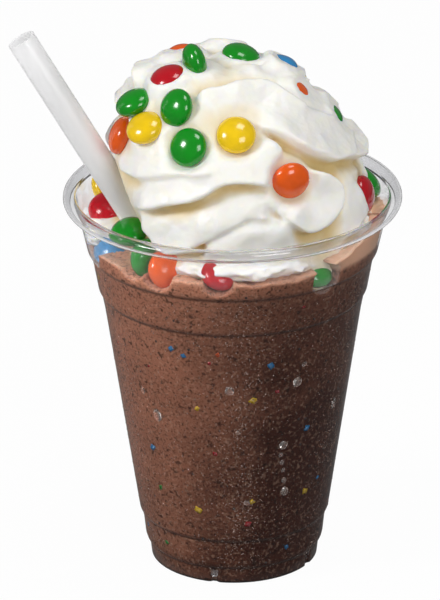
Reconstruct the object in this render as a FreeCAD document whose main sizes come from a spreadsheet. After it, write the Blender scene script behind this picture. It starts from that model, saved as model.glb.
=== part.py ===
import FreeCAD, Part
import math
import os
import Sketcher

# A chocolate milkshake in a clear stepped cup: shake, whipped cream piped on it in a
# spiral, a wide straw and sugar-coated lentils lying on both.
# Millimetres, +Z up. The origin is the centre of the foot ring, on the table.

SIZES = (
    ("rim_radius", 49.0, "outside of the rolled rim"),
    ("rim_height", 114.2, "top of the rolled rim"),
    ("bead_radius", 1.95, "half the thickness of the rolled rim"),
    ("roll_end", 100.0, "degrees that the roll turns below level"),
    ("wall", 0.5, "cup wall"),
    ("foot_radius", 24.4, "outside of the foot ring"),
    ("foot_width", 3.2, "flat of the foot ring"),
    ("push_up", 3.0, "height of the raised floor"),
    ("push_up_slope", 1.4, "run of the slope up to the floor"),
    ("foot_band_radius", 24.9, "top of the foot band"),
    ("foot_band_height", 3.4, "top of the foot band"),
    ("low_step_radius", 26.1, "top of the lowest step"),
    ("low_step_height", 6.8, "top of the lowest step"),
    ("low_band_radius", 26.6, "top of the band above it"),
    ("low_band_height", 11.4, "top of the band above it"),
    ("taper_foot_radius", 28.05, "lower end of the long taper"),
    ("taper_foot_height", 17.0, "lower end of the long taper"),
    ("taper_head_radius", 37.3, "upper end of the long taper"),
    ("taper_head_height", 78.8, "upper end of the long taper"),
    ("middle_step_radius", 38.6, "top of the middle step"),
    ("middle_step_height", 84.2, "top of the middle step"),
    ("upper_band_radius", 40.5, "top of the upper band"),
    ("upper_band_height", 93.0, "top of the upper band"),
    ("stack_step_radius", 42.1, "top of the stacking step"),
    ("stack_step_height", 97.2, "top of the stacking step"),
    ("fill_level", 101.5, "top of the shake at the wall"),
    ("froth", 1.6, "height of the lumps in its froth"),
    ("straw_radius", 4.15, "outside of the straw"),
    ("straw_wall", 0.35, "straw wall"),
    ("straw_tilt", 30.2, "degrees that the straw leans to the left"),
    ("straw_top", 161.7, "height of the middle of its top end"),
    ("straw_top_reach", 60.1, "how far left of the axis that end is"),
    ("straw_forward", 3.0, "how far in front of the axis the straw lies"),
    ("straw_clearance", 0.3, "gap between its lower end and the cup wall"),
    ("cream_sink", 7.5, "how far the cream is sunk in the shake"),
    ("cream_height", 60.0, "cream from its underside to its crown"),
    ("cream_radius", 37.5, "cream at its widest, before its folds"),
    ("cream_offset", 3.0, "how far right of the axis its foot is"),
    ("cream_lean", 9.0, "how far its crown leans back to the left"),
    ("cream_tiers", 4.0, "turns of the piped spiral"),
    ("fold_depth", 3.4, "how far a fold stands out"),
    ("fold_droop", 2.6, "how far a fold hangs down"),
    ("flute_depth", 0.9, "depth of the nozzle's flutes"),
    ("cream_clearance", 0.4, "gap between cream and cup wall"),
    ("candy_diameter", 11.2, "width of a lentil"),
    ("candy_thickness", 6.6, "thickness of a lentil"),
    ("candy_clearance", 0.25, "gap between a lentil and the cup wall"),
)

# The cup's outside from the foot up, as pairs of named sizes: radius, height.
WALL_RINGS = (
    ("foot_radius", None),
    ("foot_band_radius", "foot_band_height"),
    ("low_step_radius", "low_step_height"),
    ("low_band_radius", "low_band_height"),
    ("taper_foot_radius", "taper_foot_height"),
    ("taper_head_radius", "taper_head_height"),
    ("middle_step_radius", "middle_step_height"),
    ("upper_band_radius", "upper_band_height"),
    ("stack_step_radius", "stack_step_height"),
)

# How closely the cream's solid follows its form.
CREAM_ROWS = 38
CREAM_COLUMNS = 64
SUPERELLIPSE = 2.6
FLUTES = 7
FOLD_START = 30.0

# Low lobes that spread from the cream to the cup wall: azimuth and half-width in
# degrees, share of the gap that they fill.
SPREADS = (
    (-82.0, 26.0, 1.0),
    (178.0, 24.0, 0.9),
    (-12.0, 20.0, 0.55),
)
SPREAD_ELEVATION = 9.0

# Where the folds fade out, in degrees of elevation, and how the flutes twist.
FOOT_FADE = 26.0
CROWN_FADE = 22.0
CROWN_ELEVATION = 86.0
CROWN_PEAK = 0.6
FLUTE_TWIST = 1.2

# The shake's froth: shares of the way to the wall that its rings lie at, its lumps
# round the axis, and where it climbs the wall: azimuth and half-width in degrees,
# height, and how soon it sinks away from the wall.
FROTH_RINGS = (1.0, 0.9, 0.8, 0.6, 0.3)
FROTH_COLUMNS = 48
FROTH_LUMPS = 5
FROTH_SWELLS = 3
CLIMB_MIDDLE = -12.0
CLIMB_WIDTH = 38.0
CLIMB_HEIGHT = 5.0
CLIMB_POWER = 8
FROTH_PAST_WALL = 1.0
BELOW_CUP = 1.0

STRAW_STEP = 0.1

# How closely the rooms for the lentils and the straw follow them.
SOCKET_ROWS = 7
SOCKET_COLUMNS = 16

# Lentils on the cream: colour, azimuth and elevation on its form, how deep the
# middle lies in millimetres, azimuth and elevation that the flat side faces.
CREAM_CANDIES = (
    ("green", -135, 84, -1.2, -165, -10),
    ("red", -148, 72, 0.4, -155, 70),
    ("orange", 140, 77, 1.6, -120, 60),
    ("green", 30, 80, 0.0, -5, 75),
    ("blue", 14, 66, 0.0, -10, 85),
    ("orange", -14, 55, 1.6, 0, 25),
    ("green", -4, 43, 0.8, 5, 55),
    ("green", -159, 52, -1.0, -170, 65),
    ("green", -121, 58, 0.0, -140, 25),
    ("yellow", -140, 45, -0.8, -130, 60),
    ("orange", -167, 36, 0.2, -180, 20),
    ("green", -111, 42, 0.0, -120, 30),
    ("yellow", -82, 48, 0.6, -90, 45),
    ("orange", -61, 29, 0.0, -70, -10),
    ("yellow", 132, 58, 0.6, 150, 55),
    ("blue", 98, 48, 0.2, 95, 40),
    ("red", 66, 36, 0.4, 60, 25),
    ("green", 148, 38, 0.4, 155, 20),
    ("orange", 80, 66, 0.6, 80, 65),
    ("yellow", 40, 52, 0.6, 45, 60),
    ("red", 118, 24, 0.8, 120, 15),
)

# Lentils on the shake and at the wall: colour, azimuth, height of the middle above
# the fill level, gap to the wall, azimuth and elevation that the flat side faces.
SHAKE_CANDIES = (
    ("yellow", 159, 7.4, 0.0, -20, 35),
    ("red", 175, 5.8, 1.2, -110, 60),
    ("red", 167, 10.4, 11.4, -60, 60),
    ("green", -147, 7.2, 2.8, -130, 65),
    ("blue", -161, -0.8, 0.0, -120, 50),
    ("green", -133, 2.2, 0.6, -43, 10),
    ("orange", -121, 0.8, 0.0, -60, 25),
    ("red", -122, 2.6, 11.6, -110, 30),
    ("red", -96, 1.4, 0.2, -60, 60),
    ("green", -51, -1.9, 0.0, -40, 70),
    ("red", -7, 12.6, 3.4, -10, 10),
    ("green", 13, 11.2, 0.4, 20, 40),
    ("orange", -9, 2.8, 0.0, 20, 80),
    ("blue", 62, -0.8, 0.2, 80, 70),
    ("yellow", 121, -1.0, 0.2, 140, 75),
)

doc = FreeCAD.newDocument("Milkshake")


def make_sheet():
    """Writes the driving sizes into a spreadsheet, one named cell each."""
    table = doc.addObject("Spreadsheet::Sheet", "Sizes")
    for row, (alias, value, note) in enumerate(SIZES, 1):
        table.set(f"A{row}", note)
        table.set(f"B{row}", str(value))
        table.setAlias(f"B{row}", alias)
    doc.recompute()
    return table


sheet = make_sheet()


def size(alias):
    """The value of a named cell."""
    return float(sheet.get(alias))


def bound(obj, name, formula):
    """Binds one property of an object to the sheet."""
    obj.setExpression(name, formula)


def inner_radius(height):
    """Radius of the cup's inside at a height, from the same rings as its wall."""
    rings = [(size(r), size(z) if z else 0.0) for r, z in WALL_RINGS]
    rings.append((sheet.evalExpression(HEAD_OUTSIDE), sheet.evalExpression(RIM_MIDDLE)))
    for (r0, z0), (r1, z1) in zip(rings, rings[1:]):
        if height <= z1:
            share = max(height - z0, 0.0) / (z1 - z0)
            return r0 + share * (r1 - r0) - size("wall")
    return rings[-1][0] - size("wall")


# ---------------------------------------------------------------- sketched outlines
def new_sketch(body, name):
    """An empty sketch on the body's XZ plane: its X is the radius, its Y the height."""
    sketch = body.newObject("Sketcher::SketchObject", name)
    planes = [f for f in body.Origin.OriginFeatures if f.Role == "XZ_Plane"]
    sketch.AttachmentSupport = [(planes[0], "")]
    sketch.MapMode = "FlatFace"
    return sketch


def pin(sketch, geometry, end, formulas):
    """Ties a point to a radius and a height, each None where it lies on that axis."""
    kinds = ("DistanceX", "DistanceY")
    axes = (-2, -1)
    for kind, axis, formula in zip(kinds, axes, formulas):
        if formula is None:
            rule = Sketcher.Constraint("PointOnObject", geometry, end, axis)
            sketch.addConstraint(rule)
            continue
        point = sketch.getPoint(geometry, end)
        here = point.x if kind == "DistanceX" else point.y
        rule = Sketcher.Constraint(kind, -1, 1, geometry, end, here)
        number = sketch.addConstraint(rule)
        bound(sketch, f"Constraints[{number}]", formula)


def worth(formula):
    """The value of a formula, to draw a point near its place."""
    return 0.0 if formula is None else float(sheet.evalExpression(formula))


def closed_outline(sketch, corners):
    """Draws straight edges through corners given as pairs of formulas, and ties each."""
    points = [FreeCAD.Vector(worth(r), worth(z), 0) for r, z in corners]
    for here, there in zip(points, points[1:] + points[:1]):
        sketch.addGeometry(Part.LineSegment(here, there), False)
    count = len(points)
    for i in range(count):
        rule = Sketcher.Constraint("Coincident", i, 2, (i + 1) % count, 1)
        sketch.addConstraint(rule)
    for i, formulas in enumerate(corners):
        pin(sketch, i, 1, formulas)


def revolve(body, sketch, name):
    """Turns a sketch once round the vertical axis."""
    turn = body.newObject("PartDesign::Revolution", name)
    turn.Profile = sketch
    turn.ReferenceAxis = (sketch, ["V_Axis"])
    turn.Angle = 360.0
    return turn


# ---------------------------------------------------------------- cup
WALL = "Sizes.wall"
RIM_MIDDLE = "Sizes.rim_height - Sizes.bead_radius"
HEAD_INSIDE = "Sizes.rim_radius - 2 * Sizes.bead_radius"
HEAD_OUTSIDE = HEAD_INSIDE + " + " + WALL
FOOT_INSIDE = "Sizes.foot_radius - Sizes.foot_width"
FLOOR_EDGE = FOOT_INSIDE + " - Sizes.push_up_slope"
FLOOR_TOP = "Sizes.push_up + " + WALL


def wall_side(thickness):
    """The wall's corners from foot to rim; thickness takes the outside to the inside."""
    return [(f"Sizes.{r}{thickness}", f"Sizes.{z}") for r, z in WALL_RINGS[1:]]


def make_cup():
    """Stepped cup with a pushed-up floor and a rolled rim."""
    body = doc.addObject("PartDesign::Body", "cup")
    under = [(None, "Sizes.push_up"), (FLOOR_EDGE, "Sizes.push_up"), (FOOT_INSIDE, None)]
    outside = [("Sizes.foot_radius", None)] + wall_side("") + [(HEAD_OUTSIDE, RIM_MIDDLE)]
    sketch = new_sketch(body, "cup_outline")
    closed_outline(sketch, under + outside + cup_inside())
    revolve(body, sketch, "cup_wall")
    rim = new_sketch(body, "rim_outline")
    draw_roll(rim)
    revolve(body, rim, "cup_rim")
    return body


def cup_inside():
    """The corners of the cup's inside, from its rim down to the middle of its floor."""
    side = wall_side(" - " + WALL) + [(HEAD_INSIDE, RIM_MIDDLE)]
    floor = [
        ("Sizes.foot_radius - " + WALL, WALL),
        (FOOT_INSIDE + " + " + WALL, WALL),
        (FLOOR_EDGE + " + " + WALL, FLOOR_TOP),
        (None, FLOOR_TOP),
    ]
    return side[::-1] + floor


def turned(radius, angle):
    """A flat vector of this length at this angle."""
    return FreeCAD.Vector(radius * math.cos(angle), radius * math.sin(angle), 0)


def draw_roll(sketch):
    """The rolled rim: two arcs round one centre, closed by two radial ends."""
    outer = size("bead_radius")
    inner = outer - size("wall")
    middle = FreeCAD.Vector(size("rim_radius") - outer, worth(RIM_MIDDLE), 0)
    first = math.radians(-size("roll_end"))
    last = math.pi
    up = FreeCAD.Vector(0, 0, 1)
    for radius in (outer, inner):
        circle = Part.Circle(middle, up, radius)
        sketch.addGeometry(Part.ArcOfCircle(circle, first, last), False)
    for angle in (first, last):
        edge = Part.LineSegment(middle + turned(outer, angle), middle + turned(inner, angle))
        sketch.addGeometry(edge, False)
    outer_arc, inner_arc, low_end, high_end = range(4)
    for arc, line_end in ((outer_arc, 1), (inner_arc, 2)):
        for arc_end, line in ((1, low_end), (2, high_end)):
            sketch.addConstraint(Sketcher.Constraint("Coincident", arc, arc_end, line, line_end))
    sketch.addConstraint(Sketcher.Constraint("Coincident", outer_arc, 3, inner_arc, 3))
    pin(sketch, outer_arc, 3, ("Sizes.rim_radius - Sizes.bead_radius", RIM_MIDDLE))
    rules = (
        ("Radius", outer_arc, outer, "Sizes.bead_radius"),
        ("Radius", inner_arc, inner, "Sizes.bead_radius - " + WALL),
    )
    for kind, arc, value, formula in rules:
        number = sketch.addConstraint(Sketcher.Constraint(kind, arc, value))
        bound(sketch, f"Constraints[{number}]", formula)
    sketch.addConstraint(Sketcher.Constraint("Horizontal", outer_arc, 3, outer_arc, 2))
    sketch.addConstraint(Sketcher.Constraint("PointOnObject", outer_arc, 3, low_end))
    sketch.addConstraint(Sketcher.Constraint("Horizontal", high_end))


# ---------------------------------------------------------------- straw
def make_straw():
    """A straight tube, open at both ends, leaning on the cup's right side."""
    outside = make_rod("straw_outside", "Sizes.straw_radius")
    bore = make_rod("straw_bore", "Sizes.straw_radius - Sizes.straw_wall")
    straw = doc.addObject("Part::Cut", "straw")
    straw.Base = outside
    straw.Tool = bore
    straw.Placement = straw_place()
    return straw


def make_rod(name, radius):
    """A cylinder as long as the straw."""
    rod = doc.addObject("Part::Cylinder", name)
    bound(rod, "Radius", radius)
    rod.Height = straw_length()
    return rod


def straw_end():
    """Height of the middle of the straw's lower end, where its corner nears the wall."""
    tilt = math.radians(size("straw_tilt"))
    top = size("straw_top")
    corner_out = size("straw_radius") * math.cos(tilt)
    corner_down = size("straw_radius") * math.sin(tilt)
    height = size("push_up") + corner_down
    while height < top:
        middle = (top - height) * math.tan(tilt) - size("straw_top_reach")
        room = inner_radius(height + corner_down) - size("straw_clearance")
        if math.hypot(middle + corner_out, size("straw_forward")) < room:
            break
        height += STRAW_STEP
    return height


def straw_length():
    """From the lower end, along the straw, to the top end."""
    rise = size("straw_top") - straw_end()
    return rise / math.cos(math.radians(size("straw_tilt")))


def straw_place():
    """Stands on its lower end and leans to the left."""
    tilt = size("straw_tilt")
    run = (size("straw_top") - straw_end()) * math.tan(math.radians(tilt))
    foot = FreeCAD.Vector(run - size("straw_top_reach"), -size("straw_forward"), straw_end())
    return FreeCAD.Placement(foot, FreeCAD.Rotation(FreeCAD.Vector(0, 1, 0), -tilt))


# ---------------------------------------------------------------- form of the cream
def cream_foot():
    """Height of the cream's underside."""
    return size("fill_level") - size("cream_sink")


def cream_axis(share):
    """How far right of the cup's axis the cream's own axis is, at a share of its height."""
    return size("cream_offset") - size("cream_lean") * share * share


def cream_form(azimuth, elevation, proud=0.0, droop=0.0):
    """A point on the cream's plain form, or that far outside it and below it."""
    round_share = math.cos(math.radians(elevation)) ** (2 / SUPERELLIPSE)
    height_share = math.sin(math.radians(elevation)) ** (2 / SUPERELLIPSE)
    radius = size("cream_radius") * round_share
    rise = size("cream_height") * height_share
    lift = proud * math.sin(math.radians(elevation))
    reach = radius + proud * math.cos(math.radians(elevation))
    turn = math.radians(azimuth)
    x = cream_axis(height_share) + reach * math.cos(turn)
    y = reach * math.sin(turn)
    return FreeCAD.Vector(x, y, cream_foot() + rise + lift - droop)


def fold(azimuth, elevation):
    """How strongly the spiral stands out here: steep below each turn, easy above."""
    phase = size("cream_tiers") * elevation / 90 + (azimuth - FOLD_START) / 360
    share = phase - math.floor(phase)
    return math.sin(math.pi * math.sqrt(share))


def fade(elevation):
    """Folds die away at the foot and at the crown."""
    return min(1.0, elevation / FOOT_FADE, (90.0 - elevation) / CROWN_FADE)


def spread(azimuth, elevation, reach):
    """How far a low lobe carries the surface outwards, given the gap to the wall."""
    share = 0.0
    for middle, width, most in SPREADS:
        apart = (azimuth - middle + 180) % 360 - 180
        share = max(share, most * math.exp(-((apart / width) ** 2)))
    return reach * share * math.exp(-((elevation / SPREAD_ELEVATION) ** 2))


def cream_point(azimuth, elevation):
    """A point on the cream with its folds, flutes and lobes, kept inside the cup."""
    strength = fade(elevation) * fold(azimuth, elevation)
    twist = elevation * FLUTE_TWIST
    flutes = math.cos(math.radians(FLUTES * (azimuth + twist)))
    proud = size("fold_depth") * strength + size("flute_depth") * flutes * fade(elevation)
    droop = size("fold_droop") * strength * math.cos(math.radians(elevation))
    point = cream_form(azimuth, elevation, proud, droop)
    room = inner_radius(point.z) - size("cream_clearance")
    out = math.hypot(point.x, point.y)
    if point.z > size("rim_height"):
        return point
    longer = out + spread(azimuth, elevation, max(room - out, 0.0))
    factor = min(longer, room) / out
    return FreeCAD.Vector(point.x * factor, point.y * factor, point.z)


def faceted_solid(rings, crown, foot):
    """A closed solid of triangles through rings of points, a crown and a foot."""
    count = len(rings[0])
    faces = []
    for i in range(count):
        j = (i + 1) % count
        faces.append((foot, rings[0][j], rings[0][i]))
        faces.append((crown, rings[-1][i], rings[-1][j]))
        for low, high in zip(rings, rings[1:]):
            faces.append((low[i], low[j], high[j]))
            faces.append((low[i], high[j], high[i]))
    shell = Part.makeShell([Part.Face(Part.makePolygon([*f, f[0]])) for f in faces])
    return Part.makeSolid(shell)


def cream_solid():
    """The whole cream before anything is cut out of it."""
    rings = []
    for row in range(CREAM_ROWS):
        elevation = CROWN_ELEVATION * row / (CREAM_ROWS - 1)
        columns = range(CREAM_COLUMNS)
        rings.append([cream_point(360.0 * c / CREAM_COLUMNS, elevation) for c in columns])
    foot = FreeCAD.Vector(cream_axis(0.0), 0, cream_foot())
    crown = cream_form(0.0, 90.0, CROWN_PEAK)
    return faceted_solid(rings, crown, foot)


# ---------------------------------------------------------------- lentils
def facing(azimuth, elevation):
    """The direction with this azimuth and elevation."""
    flat = math.cos(math.radians(elevation))
    turn = math.radians(azimuth)
    rise = math.sin(math.radians(elevation))
    return FreeCAD.Vector(flat * math.cos(turn), flat * math.sin(turn), rise)


def half_reach(face, direction):
    """Half the width of a lentil along a direction, when its flat side faces face."""
    along = face.dot(direction)
    thick = size("candy_thickness") / 2 * along
    wide_share = math.sqrt(max(0.0, 1 - along * along))
    return math.hypot(thick, size("candy_diameter") / 2 * wide_share)


def place_in_shake(azimuth, rise, gap, face):
    """The middle of a lentil that lies on the shake, this far from the wall."""
    height = size("fill_level") + rise
    outward = facing(azimuth, 0)
    reach = half_reach(face, outward) + size("candy_clearance") + gap
    lowest = height - half_reach(face, FreeCAD.Vector(0, 0, 1)) / 2
    return outward * (inner_radius(lowest) - reach) + FreeCAD.Vector(0, 0, height)


def lentil_socket():
    """A faceted lentil just large enough to hold a smooth one."""
    step = math.pi / (SOCKET_ROWS + 1)
    loose = 1 / math.cos(math.pi / SOCKET_COLUMNS) / math.cos(step / 2)
    wide = size("candy_diameter") / 2 * loose
    thick = size("candy_thickness") / 2 * loose
    rings = []
    for row in range(SOCKET_ROWS):
        tilt = (row + 1) * step - math.pi / 2
        level = FreeCAD.Vector(0, 0, thick * math.sin(tilt))
        turns = [2 * math.pi * c / SOCKET_COLUMNS for c in range(SOCKET_COLUMNS)]
        rings.append([level + turned(wide * math.cos(tilt), t) for t in turns])
    tip = FreeCAD.Vector(0, 0, thick)
    return faceted_solid(rings, tip, tip * -1)


def straw_socket(straw):
    """A faceted rod just thick enough to hold the straw."""
    radius = size("straw_radius") / math.cos(math.pi / SOCKET_COLUMNS)
    turns = [2 * math.pi * c / SOCKET_COLUMNS for c in range(SOCKET_COLUMNS)]
    top = FreeCAD.Vector(0, 0, straw_length())
    rings = [[level + turned(radius, t) for t in turns] for level in (top * 0, top)]
    rod = faceted_solid(rings, top, top * 0)
    rod.Placement = straw.Placement
    return rod


def rooms(straw, candies):
    """What the straw and the lentils take out of the soft fillings."""
    whole = lentil_socket()
    made = [straw_socket(straw)]
    for candy in candies:
        socket = whole.copy()
        socket.Placement = candy.Placement
        made.append(socket)
    return made


def make_candy(name, middle, face):
    """A lentil with its middle here, whose flat side faces this way."""
    candy = doc.addObject("Part::Ellipsoid", name)
    bound(candy, "Radius1", "Sizes.candy_thickness / 2")
    bound(candy, "Radius2", "Sizes.candy_diameter / 2")
    turn = FreeCAD.Rotation(FreeCAD.Vector(0, 0, 1), face)
    candy.Placement = FreeCAD.Placement(middle, turn)
    return candy


def make_candies():
    """Every lentil, numbered within its colour."""
    places = []
    for colour, azimuth, elevation, sink, *face in CREAM_CANDIES:
        places.append((colour, cream_form(azimuth, elevation, -sink), facing(*face)))
    for colour, azimuth, rise, gap, *face in SHAKE_CANDIES:
        middle = place_in_shake(azimuth, rise, gap, facing(*face))
        places.append((colour, middle, facing(*face)))
    made = []
    counts = {}
    for colour, middle, face in places:
        counts[colour] = counts.get(colour, 0) + 1
        made.append(make_candy(f"candy_{colour}_{counts[colour]}", middle, face))
    return made


# ---------------------------------------------------------------- soft fillings
def make_shape(name, shape):
    """A document object that holds a finished shape."""
    obj = doc.addObject("Part::Feature", name)
    obj.Shape = shape
    obj.Placement = FreeCAD.Placement()
    return obj


def make_cream(taken):
    """The cream, cut round the straw and the lentils."""
    solid = cream_solid().cut(taken)
    biggest = max(solid.Solids, key=lambda piece: piece.Volume)
    return make_shape("whipped_cream", biggest)


def froth_point(azimuth, share):
    """A point on the shake's lumpy top, at a share of the way to the wall."""
    turn = math.radians(azimuth)
    lump = math.sin(FROTH_LUMPS * turn) * math.cos(FROTH_SWELLS * turn)
    apart = (azimuth - CLIMB_MIDDLE + 180) % 360 - 180
    climb = CLIMB_HEIGHT * math.exp(-((apart / CLIMB_WIDTH) ** 2)) * share**CLIMB_POWER
    height = size("fill_level") + size("froth") * share * lump + climb
    radius = share * (inner_radius(height) + FROTH_PAST_WALL)
    return facing(azimuth, 0) * radius + FreeCAD.Vector(0, 0, height)


def cup_room():
    """The whole inside of the cup, up to its rim."""
    points = [FreeCAD.Vector(worth(r), 0, worth(z)) for r, z in cup_inside()[::-1]]
    points.append(FreeCAD.Vector(0, 0, points[-1].z))
    outline = Part.Face(Part.makePolygon([*points, points[0]]))
    return outline.revolve(FreeCAD.Vector(), FreeCAD.Vector(0, 0, 1), 360)


def make_shake(taken, cream):
    """The shake: the cup's inside up to its frothy top, less all that lies in it."""
    turns = [360.0 * c / FROTH_COLUMNS for c in range(FROTH_COLUMNS)]
    rings = [[froth_point(turn, share) for turn in turns] for share in FROTH_RINGS]
    low = [FreeCAD.Vector(p.x, p.y, -BELOW_CUP) for p in rings[0]]
    middle = FreeCAD.Vector(0, 0, size("fill_level"))
    block = faceted_solid([low] + rings, middle, FreeCAD.Vector(0, 0, -BELOW_CUP))
    fill = cup_room().common(block)
    fill = fill.cut([cream.Shape, *taken])
    biggest = max(fill.Solids, key=lambda piece: piece.Volume)
    return make_shape("shake", biggest)


# ---------------------------------------------------------------- build and write
def check(objects):
    """Stops if any object failed or any shape is missing or broken."""
    for obj in doc.Objects:
        if "Invalid" in obj.State or "Error" in obj.State:
            raise RuntimeError(f"{obj.Name} failed: {obj.State}")
    for obj in objects:
        if obj.Shape.isNull() or not obj.Shape.isValid():
            raise RuntimeError(f"{obj.Label} has no valid shape")


def main():
    """Builds every piece, checks them and writes one file for each."""
    cup = make_cup()
    straw = make_straw()
    candies = make_candies()
    doc.recompute()
    check([cup, straw] + candies)
    taken = rooms(straw, candies)
    cream = make_cream(taken)
    shake = make_shake(taken, cream)
    doc.recompute()
    pieces = [cup, shake, cream, straw] + candies
    check(pieces)
    os.makedirs("parts", exist_ok=True)
    for piece in pieces:
        piece.Shape.exportStep(f"parts/{piece.Label}.step")
        print(piece.Label, len(piece.Shape.Solids), round(piece.Shape.Volume, 1))


main()
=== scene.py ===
"""Milkshake in a clear stepped cup: the finish of every piece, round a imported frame."""

import math
import random

import bmesh
import bpy
import numpy as np
from bpy.props import (
    FloatProperty,
    FloatVectorProperty,
    IntProperty,
    PointerProperty,
)
from mathutils import Matrix, Vector, noise


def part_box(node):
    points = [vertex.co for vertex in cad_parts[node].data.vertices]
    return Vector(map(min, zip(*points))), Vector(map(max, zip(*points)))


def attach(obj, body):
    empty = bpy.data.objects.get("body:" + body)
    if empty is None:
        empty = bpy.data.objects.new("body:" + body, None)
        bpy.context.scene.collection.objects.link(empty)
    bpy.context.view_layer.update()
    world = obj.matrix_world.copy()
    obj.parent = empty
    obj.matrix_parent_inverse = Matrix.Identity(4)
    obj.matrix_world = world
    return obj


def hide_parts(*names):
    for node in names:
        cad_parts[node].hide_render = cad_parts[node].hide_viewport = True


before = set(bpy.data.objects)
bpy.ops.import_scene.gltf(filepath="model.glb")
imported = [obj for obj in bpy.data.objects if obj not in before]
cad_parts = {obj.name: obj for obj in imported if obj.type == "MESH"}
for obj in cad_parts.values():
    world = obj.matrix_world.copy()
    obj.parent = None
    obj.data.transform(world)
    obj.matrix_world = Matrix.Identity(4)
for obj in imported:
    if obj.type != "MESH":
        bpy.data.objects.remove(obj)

bl_info = {
    "name": "Milkshake Maker",
    "version": (1, 0, 0),
    "blender": (4, 5, 0),
    "location": "View3D > Sidebar > Milkshake",
    "description": "Builds a milkshake with whipped cream in a clear cup",
    "category": "Object",
}

MM = 0.001
FULL_TURN = 2 * math.pi

CUP_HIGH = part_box("cup")[1]
STRAW_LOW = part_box("straw")[0]
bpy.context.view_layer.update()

# Outside of the cup wall in mm, from the foot to the head: radius, height. The short
# steep ledges are the moulded steps.
CUP_RINGS = (
    (24.4, 0.0), (24.95, 4.7), (25.75, 5.6), (26.1, 6.8), (26.9, 14.1), (27.75, 15.1),
    (28.05, 17.0), (37.3, 78.8), (38.35, 84.1), (39.1, 85.0), (40.5, 93.0), (41.3, 96.1),
    (42.15, 97.0), (45.6, 112.25),
)
# Heights in mm where painted shade darkens the shake, standing for the shade of a moulded step.
STEP_HEIGHTS = (96.4, 84.3, 14.4, 5.0)
# Specks in the shake: noise scale and detail, where they start and are full, share, colour.
SHAKE_SPECKS = (
    (1300.0, 1.0, 0.52, 0.66, 0.5, "dark"),
    (620.0, 1.0, 0.62, 0.70, 0.7, "dark"),
    (1000.0, 2.0, 0.54, 0.70, 0.16, "froth"),
)
# Moulded notches in the foot ring: azimuths in degrees.
NOTCH_AZIMUTHS = (-104, -29, 24, 68, 112, 156)
# Where a notch fades out: at its sides in degrees, at its top, and towards the axis.
NOTCH_SIDES = (1.6, 3.4)
NOTCH_TOP = (3.4 * MM, 4.6 * MM)
NOTCH_DEPTH_STARTS = (21.5 * MM, 23.0 * MM)
# Where the froth has climbed the wall: middle and half-width in degrees.
CLIMB_MIDDLE = -12.0
CLIMB_HALF = 38.0
# Sizes of the froth's lumps and bubbles, and the bubbles' height.
LUMP_SIZE = 7 * MM
BUBBLE_SIZE = 1.6 * MM
BUBBLE_HEIGHT = 0.25 * MM

# Folds of the cream. Each line runs over the mound as azimuth and elevation in
# degrees, and what lies on its left stands proud: height, reach and droop in mm.
FOLDS = (
    (2.0, 6.0, 0.5, ((-30, 53), (-21, 56), (0, 58), (16, 58), (10, 66), (-9, 74), (-24, 82))),
    (
        2.6,
        6.0,
        0.6,
        (
            (-2, 28), (6, 30), (3, 36), (-16, 43), (-29, 51), (-34, 57),
            (-38, 66), (-49, 70), (-66, 71), (-97, 68), (-108, 63),
        ),
    ),
    (
        3.2,
        5.0,
        1.4,
        (
            (-68, 53), (-60, 50), (-54, 47), (-48, 42),
            (-42, 38), (-31, 33), (-19, 31), (7, 24),
        ),
    ),
    (1.4, 4.5, 0.4, ((-66, 37), (-61, 41), (-65, 47), (-70, 53), (-73, 56))),
    (
        1.8,
        5.0,
        0.7,
        (
            (-161, 28), (-150, 28), (-138, 29), (-123, 32),
            (-113, 34), (-105, 34), (-97, 36),
        ),
    ),
    (
        3.6,
        6.0,
        1.8,
        (
            (-140, 19), (-129, 22), (-121, 24), (-111, 26), (-103, 29),
            (-96, 32), (-86, 33), (-76, 32), (-69, 30),
        ),
    ),
    (
        2.8,
        5.0,
        1.4,
        (
            (-138, 16), (-131, 13), (-125, 10), (-119, 10),
            (-106, 14), (-92, 19), (-84, 21), (-72, 20),
        ),
    ),
    (2.2, 8.0, 0.5, ((-62, 15), (-75, 19), (-87, 18), (-96, 15), (-104, 12), (-106, 9))),
    (
        3.2,
        5.0,
        1.2,
        (
            (-71, 22), (-63, 17), (-58, 15), (-50, 16),
            (-43, 19), (-39, 23), (-42, 27), (-50, 31),
        ),
    ),
    (2.4, 6.0, 1.2, ((-38, 10), (-24, 13), (-8, 16), (10, 15), (26, 17))),
)
# Section of a fold, in mm across its line: how much of its height shows, the lip's
# steep edge, the hollow under it, and where the lip droops.
FOLD_SHARE = 1.25
LIP_EDGE = 0.7
HOLLOW_SHARE = 0.45
HOLLOW_MIDDLE = 2.6
HOLLOW_WIDTH = 1.8
DROOP_MIDDLE = 0.6
DROOP_WIDTH = 2.2
# Ends of a fold: where it fades along its line, and how soon it fades past its end.
FADE_ALONG = (-3 * MM, 5 * MM)
FADE_PAST_END = 2 * MM
# Slow swell and fine relief of the cream: size across and height.
SWELL_SIZE = 16 * MM
SWELL_HEIGHT = 0.9 * MM
RELIEF_SIZE = 2.6 * MM
RELIEF_HEIGHT = 0.15 * MM
# Painted shade between the folds, from deep in the folds to fully out, measured from the plain mound.
FOLD_DEPTHS = (-2.0 * MM, 3.0 * MM)
# Valleys between lobes: depth and half-width in mm, then the line.
VALLEYS = (
    (1.6, 1.8, ((-36, 33), (-32, 28), (-34, 22), (-42, 14), (-50, 9))),
    (1.4, 2.2, ((6, 22), (-9, 20), (-20, 21))),
)
# Turns of the swirl round the back: elevation where each starts on the right, and
# how far it climbs on its way to the left.
BACK_TURNS = ((8.0, 9.0), (22.0, 10.0), (38.0, 9.0), (54.0, 8.0))
BACK_STATIONS = (18, 40, 62, 84, 106, 128, 150, 172, 190)

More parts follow.
